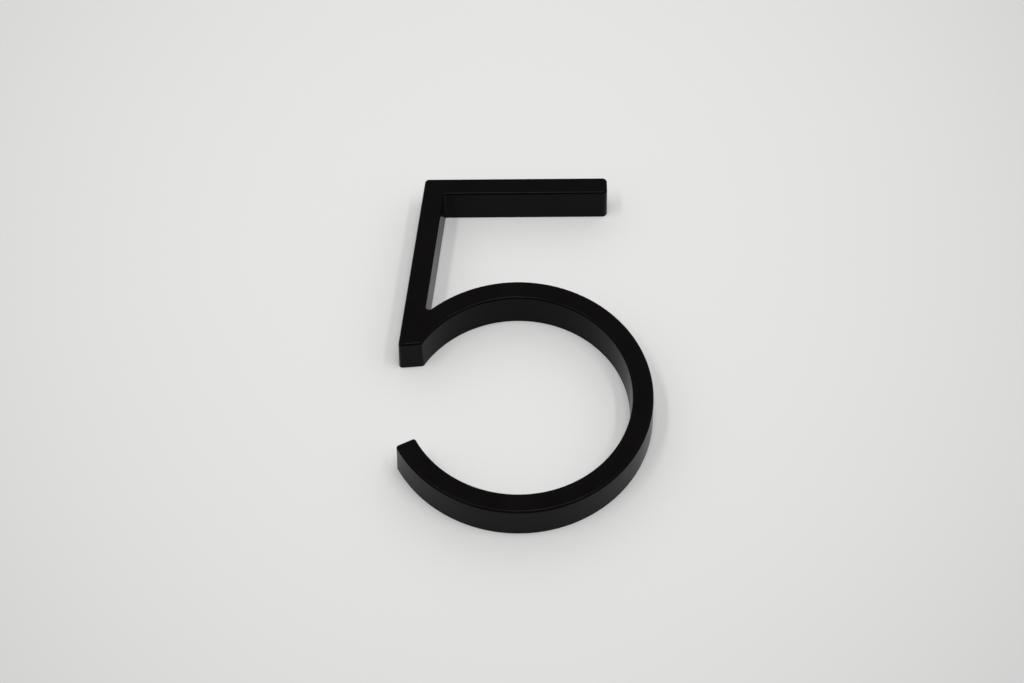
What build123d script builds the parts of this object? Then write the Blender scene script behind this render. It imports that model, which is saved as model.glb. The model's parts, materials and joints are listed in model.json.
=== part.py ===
from build123d import *
import os
from math import cos, hypot, radians, sin, sqrt, tan

# House number: the figure 5, cast in one piece as a drafted wall of nearly even stroke.
# It lies on its back with its face up. X runs across the figure, Y up it and Z out of its face.
# The origin is on the back, midway between the two fixing holes.

os.makedirs("parts", exist_ok=True)

# Outline of the back, where the draft makes the casting widest (mm)
figure_height = 127.0
bowl_radius = 42.75  # outside of the bowl
bowl_stroke = 7.2
stem_stroke = 7.5
bar_stroke = 7.0
bar_length = 61.0  # centred over the bowl
foot_height = 17.75  # outer corner of the stem's foot, above the bowl's centre
foot_inset = 0.4  # the same corner, inside the bowl's outer circle
foot_tilt = 4.6  # rise of the foot's edge towards the bowl, degrees
terminal_angle = 25.6  # end of the bowl's stroke, degrees below its centre

# Corners of the outline, on the back
bar_round = 1.7
end_round = 1.2  # the stem's foot and the open end of the bowl
crotch_round = 0.8  # acute corner where the stem leaves the bowl
elbow_round = 0.5  # inner corner where the stem meets the bar

# Section of the wall
depth = 13.0
draft_angle = 1.4  # the walls lean in towards the face, degrees
face_round = 0.8

# Tapped blind holes for the fixing studs
thread_diameter = 4.0
thread_pitch = 0.7
thread_run_out = 1.5  # plain drilled length past the thread
drill_point_angle = 118.0
mouth_chamfer = 0.35
face_skin = 2.3  # metal left between the drill's point and the face

# The holes lie in the middle of the stroke, in the bar and at the bottom of the bowl
hole_spacing = figure_height - bar_stroke / 2 - bowl_stroke / 2
bar_hole = Vector(0, hole_spacing / 2)
bowl_hole = Vector(0, -hole_spacing / 2)
drill_radius = (thread_diameter - thread_pitch) / 2
drill_point = drill_radius / tan(radians(drill_point_angle / 2))
drill_depth = depth - face_skin - drill_point
thread_depth = drill_depth - thread_run_out

# The bowl and its open end
bowl_centre = bowl_hole + Vector(0, bowl_radius - bowl_stroke / 2)
inner_radius = bowl_radius - bowl_stroke
terminal_direction = Vector(-cos(radians(terminal_angle)), -sin(radians(terminal_angle)))
terminal_outer = bowl_centre + terminal_direction * bowl_radius
terminal_inner = bowl_centre + terminal_direction * inner_radius

# The bar
bar_top = bar_hole.Y + bar_stroke / 2
bar_underside = bar_top - bar_stroke
bar_corner = Vector(-bar_length / 2, bar_top)
bar_end_top = Vector(bar_length / 2, bar_top)
bar_end_low = Vector(bar_length / 2, bar_underside)

# The stem's outer edge runs straight from the bar's corner down to the foot
foot_reach = sqrt((bowl_radius - foot_inset) ** 2 - foot_height**2)
foot_outer = bowl_centre + Vector(-foot_reach, foot_height)
foot_direction = Vector(cos(radians(foot_tilt)), sin(radians(foot_tilt)))
stem_run = foot_outer - bar_corner
stem_lean = stem_run.X / stem_run.Y  # sideways travel for each millimetre of height
stem_width = stem_stroke * hypot(1, stem_lean)  # the stroke measured along X
elbow = Vector(bar_corner.X - bar_stroke * stem_lean + stem_width, bar_underside)


def round_corners(radius, *places):
    """Rounds the outline's corners that lie at the given places."""
    fillet([figure.vertices().sort_by_distance(place)[0] for place in places], radius)


with BuildPart() as house_number:
    # One closed outline of lines and two long arcs, followed clockwise from the crotch
    with BuildSketch() as figure:
        with BuildLine():
            outer_circle = CenterArc(bowl_centre, bowl_radius, 0, 360, mode=Mode.PRIVATE)
            inner_circle = CenterArc(bowl_centre, inner_radius, 0, 360, mode=Mode.PRIVATE)
            stem_inside = IntersectingLine(elbow, stem_run, outer_circle)
            foot_edge = IntersectingLine(foot_outer, foot_direction, inner_circle)
            crotch = stem_inside @ 1
            foot_inner = foot_edge @ 1
            ThreePointArc(crotch, bowl_centre + Vector(bowl_radius, 0), terminal_outer)
            Line(terminal_outer, terminal_inner)
            ThreePointArc(terminal_inner, bowl_centre + Vector(inner_radius, 0), foot_inner)
            Polyline(foot_outer, bar_corner, bar_end_top, bar_end_low, elbow)
        make_face()
        round_corners(bar_round, bar_corner, bar_end_top, bar_end_low)
        round_corners(end_round, terminal_outer, terminal_inner, foot_outer, foot_inner)
        round_corners(crotch_round, crotch)
        round_corners(elbow_round, elbow)
    extrude(amount=depth)

    # Every wall leans in from the back, then the whole face gets its rolled edge
    flats = house_number.faces().filter_by(Plane.XY)
    walls = [side for side in house_number.faces() if side not in flats]
    draft(walls, Plane.XY, draft_angle)
    face = house_number.faces().sort_by(Axis.Z)[-1]
    fillet(face.edges(), face_round)

    # Each hole is drilled from the back, tapped, and broken at its mouth
    with Locations(Plane(bar_hole, z_dir=(0, 0, -1)), Plane(bowl_hole, z_dir=(0, 0, -1))):
        CounterSinkHole(
            thread_diameter / 2,
            thread_diameter / 2 + mouth_chamfer,
            thread_depth,
            counter_sink_angle=90,
        )
        Hole(drill_radius, drill_depth)
        with Locations((0, 0, -drill_depth)):
            Cone(
                bottom_radius=0,
                top_radius=drill_radius,
                height=drill_point,
                align=(Align.CENTER, Align.CENTER, Align.MAX),
                mode=Mode.SUBTRACT,
            )

house_number.part.label = "house_number"
export_step(house_number.part, "parts/house_number.step")
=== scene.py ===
import json
import math

import bmesh
import bpy
import numpy as np
from mathutils import Matrix, Vector


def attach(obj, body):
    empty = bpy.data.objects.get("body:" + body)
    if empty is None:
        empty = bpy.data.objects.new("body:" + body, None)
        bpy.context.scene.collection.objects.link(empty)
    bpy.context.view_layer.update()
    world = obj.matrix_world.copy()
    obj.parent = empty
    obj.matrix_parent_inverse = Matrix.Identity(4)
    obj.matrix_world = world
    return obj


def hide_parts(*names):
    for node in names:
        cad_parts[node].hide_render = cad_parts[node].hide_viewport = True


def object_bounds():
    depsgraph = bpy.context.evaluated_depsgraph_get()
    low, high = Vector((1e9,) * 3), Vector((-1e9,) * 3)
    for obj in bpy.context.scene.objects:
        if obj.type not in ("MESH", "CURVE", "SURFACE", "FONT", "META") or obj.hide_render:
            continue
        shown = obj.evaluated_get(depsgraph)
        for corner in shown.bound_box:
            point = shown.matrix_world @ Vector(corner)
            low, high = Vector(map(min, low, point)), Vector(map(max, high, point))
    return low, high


# House number, the figure 5: zinc, cast in one piece and coated satin black, lying on a pale table.
# Everything is in metres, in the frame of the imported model: X runs across the figure, Y up it and Z
# out of its face.

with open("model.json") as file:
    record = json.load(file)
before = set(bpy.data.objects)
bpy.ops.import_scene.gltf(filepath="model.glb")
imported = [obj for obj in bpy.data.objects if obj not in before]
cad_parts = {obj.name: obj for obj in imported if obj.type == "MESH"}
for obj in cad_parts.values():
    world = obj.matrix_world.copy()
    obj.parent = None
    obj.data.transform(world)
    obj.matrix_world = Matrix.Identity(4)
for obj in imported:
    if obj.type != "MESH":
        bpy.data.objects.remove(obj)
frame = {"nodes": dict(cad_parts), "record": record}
cadLow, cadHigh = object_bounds()
numberNode = frame["nodes"]["house_number"]
mounts = {mount["name"]: mount for mount in frame["record"]["mounts"]}
holeSizes = mounts["stud_holes"]["dims"]
millimetresPerMetre = 1000
holeReach = holeSizes["spacing_y_mm"] / 2 / millimetresPerMetre  # from the origin to each hole, along Y
boreRadius = holeSizes["hole_r_mm"] / millimetresPerMetre
print("frame loaded")


# Shader helpers

# An empty material with its output and one Principled BSDF, which takes the given fixed values
def startMaterial(name, fixedValues):
    material = bpy.data.materials.new(name)
    material.use_nodes = True
    tree = material.node_tree
    tree.nodes.clear()
    output = tree.nodes.new("ShaderNodeOutputMaterial")
    surface = tree.nodes.new("ShaderNodeBsdfPrincipled")
    tree.links.new(surface.outputs["BSDF"], output.inputs["Surface"])
    for socketName, value in fixedValues.items():
        surface.inputs[socketName].default_value = value
    return material, tree, surface


# A node with its settings, and with each input either linked from a socket or set to a value
def addNode(tree, kind, inputs, **settings):
    node = tree.nodes.new(kind)
    for settingName, value in settings.items():
        setattr(node, settingName, value)
    for socketName, value in inputs.items():
        if isinstance(value, bpy.types.NodeSocket):
            tree.links.new(value, node.inputs[socketName])
        else:
            node.inputs[socketName].default_value = value
    return node


def addMath(tree, operation, *values):
    inputs = dict(enumerate(values))
    return addNode(tree, "ShaderNodeMath", inputs, operation=operation).outputs["Value"]


# Cloudy noise whose patches are about patchSize across; more detail gives it more of the finer layers
def addNoise(tree, place, patchSize, detail=2.0):
    inputs = {"Vector": place, "Scale": 1 / patchSize, "Detail": detail}
    return addNode(tree, "ShaderNodeTexNoise", inputs).outputs["Fac"]


noiseSpread = (0.3, 0.7)  # nearly all of the noise's values lie in here


# Stretches a value that runs over the given spread so that it runs from low to high
def addRange(tree, value, low, high, spread=noiseSpread):
    fromLow, fromHigh = spread
    inputs = {"Value": value, "From Min": fromLow, "From Max": fromHigh, "To Min": low, "To Max": high}
    return addNode(tree, "ShaderNodeMapRange", inputs).outputs["Result"]


# Inputs 6 and 7 and output 2 are the Mix node's colours
def addColourMix(tree, share, first, second):
    inputs = {"Factor": share, 6: first, 7: second}
    return addNode(tree, "ShaderNodeMix", inputs, data_type="RGBA").outputs[2]


# Satin black coat over the casting, left off inside the tapped holes

coatLook = {
    "thinBlack": (0.0040, 0.0033, 0.0038, 1),
    "fullBlack": (0.0028, 0.0022, 0.0025, 1),
    "gloss": 0.043,            # specular level: a deep, soft black
    "refraction": 1.5,
    "smoothRoughness": 0.21,
    "dullRoughness": 0.26,
    "cloudSize": 0.009,        # patches where the coat dried a little duller
    "cloudDetail": 3.0,
    "peelSize": 0.0011,        # from hump to hump of the orange peel
    "peelDetail": 1.0,
    "peelHeight": 0.0000035,
    "grainSize": 0.00022,      # fine matting grain
    "grainHeight": 0.0000004,
    "edgeWander": 0.00006,     # how unevenly the coat ends at a hole's mouth
    "edgePatch": 0.0006,
}
zincLook = {
    "paleZinc": (0.62, 0.62, 0.64, 1),
    "greyZinc": (0.44, 0.44, 0.46, 1),
    "roughness": 0.34,
    "stainSize": 0.0008,
    "cutMarkSize": 0.00009,    # from one tool mark to the next
    "cutMarkHeight": 0.0000015,
    "cutMarkWobble": 0.6,
    "mouthChamfer": 0.00035,   # the broken edge at each hole's mouth is bare too
    "faceCover": 0.0012,       # nothing is bare nearer to the face than this
}
mouthRadius = boreRadius + zincLook["mouthChamfer"]
boreCeiling = cadHigh.z - zincLook["faceCover"]


def bareZincColour(tree, place):
    stain = addNoise(tree, place, zincLook["stainSize"])
    return addColourMix(tree, stain, zincLook["greyZinc"], zincLook["paleZinc"])


waveBands = 20  # at a scale of 1 the wave texture has this many bands in 2 pi metres


# Rings left by the drill and the tap, as bands across Z
def cutMarks(tree, place):
    waveScale = math.tau / (waveBands * zincLook["cutMarkSize"])
    inputs = {"Vector": place, "Scale": waveScale, "Distortion": zincLook["cutMarkWobble"]}
    return addNode(tree, "ShaderNodeTexWave", inputs, bands_direction="Z").outputs["Fac"]


def makeCoatMaterial():
    fixedValues = {"Specular IOR Level": coatLook["gloss"], "IOR": coatLook["refraction"]}
    material, tree, surface = startMaterial("satinBlackCoat", fixedValues)
    place = addNode(tree, "ShaderNodeTexCoord", {}).outputs["Object"]
    axes = addNode(tree, "ShaderNodeSeparateXYZ", {"Vector": place}).outputs

    # 1 inside the holes and 0 elsewhere, from the distance to the nearer hole's axis
    fromHole = addMath(tree, "SUBTRACT", addMath(tree, "ABSOLUTE", axes["Y"]), holeReach)
    across = addNode(tree, "ShaderNodeCombineXYZ", {"X": axes["X"], "Y": fromHole}).outputs["Vector"]
    radius = addNode(tree, "ShaderNodeVectorMath", {0: across}, operation="LENGTH").outputs["Value"]
    wander = addRange(tree, addNoise(tree, place, coatLook["edgePatch"]), -coatLook["edgeWander"], 0)
    inHole = addMath(tree, "LESS_THAN", radius, addMath(tree, "ADD", wander, mouthRadius))
    bare = addMath(tree, "MULTIPLY", inHole, addMath(tree, "LESS_THAN", axes["Z"], boreCeiling))

    cloud = addNoise(tree, place, coatLook["cloudSize"], coatLook["cloudDetail"])
    thinness = addRange(tree, cloud, 0, 1)
    coatColour = addColourMix(tree, thinness, coatLook["fullBlack"], coatLook["thinBlack"])
    coatRoughness = addRange(tree, cloud, coatLook["smoothRoughness"], coatLook["dullRoughness"])
    colour = addColourMix(tree, bare, coatColour, bareZincColour(tree, place))
    roughness = addRange(tree, bare, coatRoughness, zincLook["roughness"], spread=(0, 1))

    # The coat's humps and grain, then the tool marks in the holes
    peel = addNoise(tree, place, coatLook["peelSize"], coatLook["peelDetail"])
    grain = addNoise(tree, place, coatLook["grainSize"])
    peelInputs = {"Height": peel, "Distance": coatLook["peelHeight"]}
    peelNormal = addNode(tree, "ShaderNodeBump", peelInputs).outputs["Normal"]
    grainInputs = {"Height": grain, "Distance": coatLook["grainHeight"], "Normal": peelNormal}
    grainNormal = addNode(tree, "ShaderNodeBump", grainInputs).outputs["Normal"]
    marks = addMath(tree, "MULTIPLY", cutMarks(tree, place), bare)
    markInputs = {"Height": marks, "Distance": zincLook["cutMarkHeight"], "Normal": grainNormal}
    normal = addNode(tree, "ShaderNodeBump", markInputs).outputs["Normal"]

    tree.links.new(colour, surface.inputs["Base Color"])
    tree.links.new(roughness, surface.inputs["Roughness"])
    tree.links.new(bare, surface.inputs["Metallic"])
    tree.links.new(normal, surface.inputs["Normal"])
    return material


def makeZincMaterial():
    fixedValues = {"Metallic": 1.0, "Roughness": zincLook["roughness"]}
    material, tree, surface = startMaterial("tappedZinc", fixedValues)
    place = addNode(tree, "ShaderNodeTexCoord", {}).outputs["Object"]
    markInputs = {"Height": cutMarks(tree, place), "Distance": zincLook["cutMarkHeight"]}
    normal = addNode(tree, "ShaderNodeBump", markInputs).outputs["Normal"]
    tree.links.new(bareZincColour(tree, place), surface.inputs["Base Color"])
    tree.links.new(normal, surface.inputs["Normal"])
    return material


coatMaterial = makeCoatMaterial()
zincMaterial = makeZincMaterial()
print("coat and bare metal made")


# Casting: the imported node's own shape as one closed skin, shaded smoothly over its rolled edge

castingShape = {
    "rollRadius": 0.0008,      # the rolled edge all round the face
    "mergeReach": 0.0000002,   # points of the loose triangles that are nearer than this become one
    "creaseAngle": 30.0,       # degrees: edges sharper than this stay crisp
}
rollFoot = cadHigh.z - castingShape["rollRadius"]


# Joins the loose triangles, and turns those of the rolled edge so that they run evenly round it
def joinedSkin(name, node):
    reach = castingShape["mergeReach"]
    skin = bmesh.new()
    skin.from_mesh(node.data)
    bmesh.ops.remove_doubles(skin, verts=skin.verts, dist=reach)
    lowest = {side: min(end.co.z for end in side.verts) for side in skin.faces}
    roll = [side for side in skin.faces if rollFoot < lowest[side] < cadHigh.z - reach]
    rollSet = set(roll)
    inner = [edge for edge in skin.edges if rollSet.issuperset(edge.link_faces)]
    bmesh.ops.beautify_fill(skin, faces=roll, edges=inner, method="ANGLE")
    skin.verts.index_update()
    places = [end.co[:] for end in skin.verts]
    triangles = [[end.index for end in side.verts] for side in skin.faces]
    skin.free()
    mesh = bpy.data.meshes.new(name)
    mesh.from_pydata(places, [], triangles)
    mesh.shade_smooth()
    mesh.set_sharp_from_angle(angle=math.radians(castingShape["creaseAngle"]))
    return mesh


# Above the walls the normal's upward part is (z - rollFoot) / rollRadius, as on the true quarter-round,
# and the rest of it keeps the direction away from the wall.
def shadeRoll(mesh):
    leastLength = 0.0000002  # keeps the division safe where a normal points straight up
    cornerCount = len(mesh.loops)
    normals = np.empty(cornerCount * 3)
    mesh.corner_normals.foreach_get("vector", normals)
    normals = normals.reshape(-1, 3)
    corners = np.empty(cornerCount, dtype=int)
    mesh.loops.foreach_get("vertex_index", corners)
    points = np.empty(len(mesh.vertices) * 3)
    mesh.vertices.foreach_get("co", points)
    rise = (points.reshape(-1, 3)[corners, 2] - rollFoot) / castingShape["rollRadius"]
    onRoll = rise > 0
    upward = np.minimum(rise[onRoll], 1)
    sideways = normals[onRoll, :2]
    sidewaysLength = np.maximum(np.linalg.norm(sideways, axis=1), leastLength)
    normals[onRoll, :2] = sideways * (np.sqrt(1 - upward**2) / sidewaysLength)[:, None]
    normals[onRoll, 2] = upward
    mesh.normals_split_custom_set(normals.tolist())


def makeCasting(name):
    mesh = joinedSkin(name, numberNode)
    shadeRoll(mesh)
    mesh.materials.append(coatMaterial)
    casting = bpy.data.objects.new(name, mesh)
    bpy.context.scene.collection.objects.link(casting)
    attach(casting, "root")
    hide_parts("house_number")


makeCasting("casting")
print("casting skinned")


# Thread ridges of the two tapped holes

threadShape = {
    "pitch": 0.0007,
    "crestRadius": 0.00165,    # the tapping drill's own radius
    "flankAngle": 30.0,        # degrees from square to the axis
    "rootFlat": 0.0000875,     # left of the bore between two ridges
    "rootSink": 0.00002,       # the ridge's foot lies this far inside the bore's wall
    "fadeTurns": 0.4,          # at each end the ridge rises from the wall over this many turns
    "leastRise": 0.02,         # share of its height that the ridge keeps at its very ends
    "stepsPerTurn": 48,
    "boreMargin": 0.00005,     # points this near to the bore's radius lie on its wall
}


# The height at which the full bore ends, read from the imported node's own points
def boreDepth(node, holeY):
    points = np.empty(len(node.data.vertices) * 3)
    node.data.vertices.foreach_get("co", points)
    points = points.reshape(-1, 3)
    radii = np.hypot(points[:, 0], points[:, 1] - holeY)
    onBore = np.abs(radii - boreRadius) < threadShape["boreMargin"]
    return points[onBore, 2].max()


# A trapezoid carried along a right-handed helix: at turn t the section's centre is at the height
# low + pitch * t and at the angle 2 pi t. The ridge's radius is no less than that of the cone that
# breaks the hole's mouth.
def threadRidge(name, holeY):
    shape = threadShape
    footHalf = (shape["pitch"] - shape["rootFlat"]) / 2
    flankSlope = math.tan(math.radians(shape["flankAngle"]))
    crestHalf = footHalf - (boreRadius - shape["crestRadius"]) * flankSlope
    low = mouthRadius - boreRadius + footHalf
    turnCount = (boreDepth(numberNode, holeY) - footHalf - low) / shape["pitch"]
    sectionCount = int(turnCount * shape["stepsPerTurn"]) + 1
    turn = np.linspace(0, turnCount, sectionCount)[:, None]
    fade = np.clip(np.minimum(turn, turnCount - turn) / shape["fadeTurns"], shape["leastRise"], 1)
    offsets = np.array([[-footHalf, -crestHalf, crestHalf, footHalf]])
    rise = np.array([[0.0, 1.0, 1.0, 0.0]])  # 0 at the foot of the section and 1 at its crest
    height = low + shape["pitch"] * turn + offsets
    foot = boreRadius + shape["rootSink"]
    radius = foot - rise * fade * (foot - shape["crestRadius"])
    radius = np.maximum(radius, np.minimum(mouthRadius - height, foot))
    angle = math.tau * turn
    points = np.stack([radius * np.cos(angle), holeY + radius * np.sin(angle), height], axis=-1)

    corner = np.arange(radius.size).reshape(radius.shape)
    nextCorner = np.roll(corner, -1, axis=1)
    quads = np.stack([corner[:-1], nextCorner[:-1], nextCorner[1:], corner[1:]], axis=-1).reshape(-1, 4)
    faces = quads.tolist() + [corner[0, ::-1].tolist(), corner[-1].tolist()]
    mesh = bpy.data.meshes.new(name)
    mesh.from_pydata(points.reshape(-1, 3).tolist(), [], faces)
    mesh.materials.append(zincMaterial)
    piece = bpy.data.objects.new(name, mesh)
    bpy.context.scene.collection.objects.link(piece)
    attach(piece, "root")


for threadName, holeY in (("bar_hole_thread", holeReach), ("bowl_hole_thread", -holeReach)):
    threadRidge(threadName, holeY)
print("threads cut")


# Table

tableLook = {
    "radius": 6.0,
    "corners": 96,
    "drop": 0.00002,           # keeps the table just under the number's back
    "paint": (0.79, 0.788, 0.781, 1),
    "shadePaint": (0.778, 0.776, 0.771, 1),
    "cloudSize": 0.12,
    "gloss": 0.2,
    "roughness": 0.6,
    "paintedLightCentre": (-0.010, 0.114),  # painted shade: the colour darkens slowly away from here, standing in for the light falling off away from the lamps
    "paintedLightReach": (0.60, 0.77),
    "steepness": 3.0,
    "leastPaintedLight": 0.62,        # far away the painted shade leaves the paint this share of its brightness
    "blend": 0.1,              # how softly the painted shade settles at that share
}


# Painted shade, the light's falloff put into the table's colour: its factor at a place is 1 - q -
# steepness * q^2, where q is the sum of the squares of the distances from the brightest spot along X
# and Y, each as a share of its reach
def paintedLightFalloff(tree, place):
    axes = addNode(tree, "ShaderNodeSeparateXYZ", {"Vector": place}).outputs
    squares = []
    for axisName, middle, reach in zip("XY", tableLook["paintedLightCentre"], tableLook["paintedLightReach"]):
        share = addMath(tree, "DIVIDE", addMath(tree, "SUBTRACT", axes[axisName], middle), reach)
        squares.append(addMath(tree, "MULTIPLY", share, share))
    away = addMath(tree, "ADD", *squares)
    bend = addMath(tree, "MULTIPLY", addMath(tree, "MULTIPLY", away, away), tableLook["steepness"])
    shade = addMath(tree, "SUBTRACT", addMath(tree, "SUBTRACT", 1.0, away), bend)
    return addMath(tree, "SMOOTH_MAX", shade, tableLook["leastPaintedLight"], tableLook["blend"])


# A flat disc: corner k of n lies on the rim at the angle 2 pi k / n
def makeTable():
    fixedValues = {"Roughness": tableLook["roughness"], "Specular IOR Level": tableLook["gloss"]}
    material, tree, surface = startMaterial("tablePaintWithPaintedShade", fixedValues)
    place = addNode(tree, "ShaderNodeTexCoord", {}).outputs["Object"]
    cloud = addNoise(tree, place, tableLook["cloudSize"])
    paint = addColourMix(tree, cloud, tableLook["shadePaint"], tableLook["paint"])
    # the paint is darkened away from its middle by painted shade that stands in for the light's falloff
    shaded = {0: paint, "Scale": paintedLightFalloff(tree, place)}
    colour = addNode(tree, "ShaderNodeVectorMath", shaded, operation="SCALE").outputs["Vector"]
    tree.links.new(colour, surface.inputs["Base Color"])
    angles = np.linspace(0, math.tau, tableLook["corners"], endpoint=False)
    rim = tableLook["radius"] * np.stack([np.cos(angles), np.sin(angles)], axis=-1)
    points = np.column_stack([rim, np.full(len(rim), -tableLook["drop"])])
    mesh = bpy.data.meshes.new("table")
    mesh.from_pydata(points.tolist(), [], [list(range(len(points)))])
    mesh.materials.append(material)
    table = bpy.data.objects.new("table", mesh)
    bpy.context.scene.collection.objects.link(table)


makeTable()
print("table laid")


# Light: a broad lamp overhead, a long narrow one on each side of it, and a dim room

lightSetup = {
    "lampHeight": 1.5,
    # each lamp's middle, its width and length, and its share of the level on the table
    "lamps": {
        "leftLamp": {"middle": (-0.615, -0.225), "size": (0.12, 0.9), "share": 0.158},
        "topLamp": {"middle": (0.075, -0.21), "size": (0.51, 0.78), "share": 0.39},
        "rightLamp": {"middle": (0.615, -0.225), "size": (0.12, 0.9), "share": 0.138},
    },
    "level": 0.95,             # lamps whose shares add up to 1 would show white paint at this level
    "roomRear": 2.0,           # the room's light from beyond the number's top
    "roomSides": 3.4,          # the room's light from either side, high up
}


# A lamp gives the table's middle radiance * area * cos^2 / distance^2, over pi, which is made its share
# of the level. Its power is pi * radiance * area.
def makeLamp(name, middle, size, share):
    lamp = bpy.data.lights.new(name, "AREA")
    lamp.shape = "RECTANGLE"
    lamp.size, lamp.size_y = size
    area = size[0] * size[1]
    away = Vector((*middle, lightSetup["lampHeight"]))
    slant = away.normalized().z ** 2  # the cosine once for the lamp and once for the table
    radiance = share * lightSetup["level"] * math.pi * away.length_squared / (area * slant)
    lamp.energy = math.pi * radiance * area
    holder = bpy.data.objects.new(name, lamp)
    holder.location = away
    bpy.context.scene.collection.objects.link(holder)


# The room's light by direction, above the table: z * (roomRear * y^2 + roomSides * z * x^2), without
# the first term where y < 0. The room is dark towards the camera and at table height.
def makeRoom():
    world = bpy.data.worlds.new("room")
    world.use_nodes = True
    bpy.context.scene.world = world
    tree = world.node_tree
    tree.nodes.clear()
    direction = addNode(tree, "ShaderNodeTexCoord", {}).outputs["Generated"]
    way = addNode(tree, "ShaderNodeSeparateXYZ", {"Vector": direction}).outputs
    rearward = addMath(tree, "MAXIMUM", way["Y"], 0.0)
    upward = addMath(tree, "MAXIMUM", way["Z"], 0.0)
    rearSquare = addMath(tree, "MULTIPLY", rearward, rearward)
    rear = addMath(tree, "MULTIPLY", rearSquare, lightSetup["roomRear"])
    sideSquare = addMath(tree, "MULTIPLY", way["X"], way["X"])
    highSides = addMath(tree, "MULTIPLY", sideSquare, upward)
    sides = addMath(tree, "MULTIPLY", highSides, lightSetup["roomSides"])
    strength = addMath(tree, "MULTIPLY", addMath(tree, "ADD", rear, sides), upward)
    room = addNode(tree, "ShaderNodeBackground", {"Color": (1, 1, 1, 1), "Strength": strength})
    output = tree.nodes.new("ShaderNodeOutputWorld")
    tree.links.new(room.outputs["Background"], output.inputs["Surface"])


for lampName, lampSizes in lightSetup["lamps"].items():
    makeLamp(lampName, **lampSizes)
makeRoom()
print("lamps and room set")


# Camera, at the photograph's place

cameraPlace = {
    "location": (-0.00240, -0.39621, 0.62746),
    "downTilt": 57.287,        # degrees below level
    "turn": -0.081,            # degrees, anticlockwise seen from above
    "roll": 0.378,             # degrees, clockwise
    "lens": 80.75,             # millimetres, as is the sensor's width
    "sensor": 36.0,
    "clipStart": 0.01,         # nothing nearer than this is drawn
}


def makeCamera():
    camera = bpy.data.cameras.new("camera")
    camera.sensor_width = cameraPlace["sensor"]
    camera.lens = cameraPlace["lens"]
    camera.clip_start = cameraPlace["clipStart"]
    holder = bpy.data.objects.new("camera", camera)
    turn = Matrix.Rotation(math.radians(cameraPlace["turn"]), 4, "Z")
    tilt = Matrix.Rotation(math.radians(90 - cameraPlace["downTilt"]), 4, "X")
    roll = Matrix.Rotation(-math.radians(cameraPlace["roll"]), 4, "Z")
    holder.matrix_world = Matrix.Translation(Vector(cameraPlace["location"])) @ turn @ tilt @ roll
    bpy.context.scene.collection.objects.link(holder)
    bpy.context.scene.camera = holder


makeCamera()
bpy.context.scene.view_settings.view_transform = "Standard"
print("camera placed")
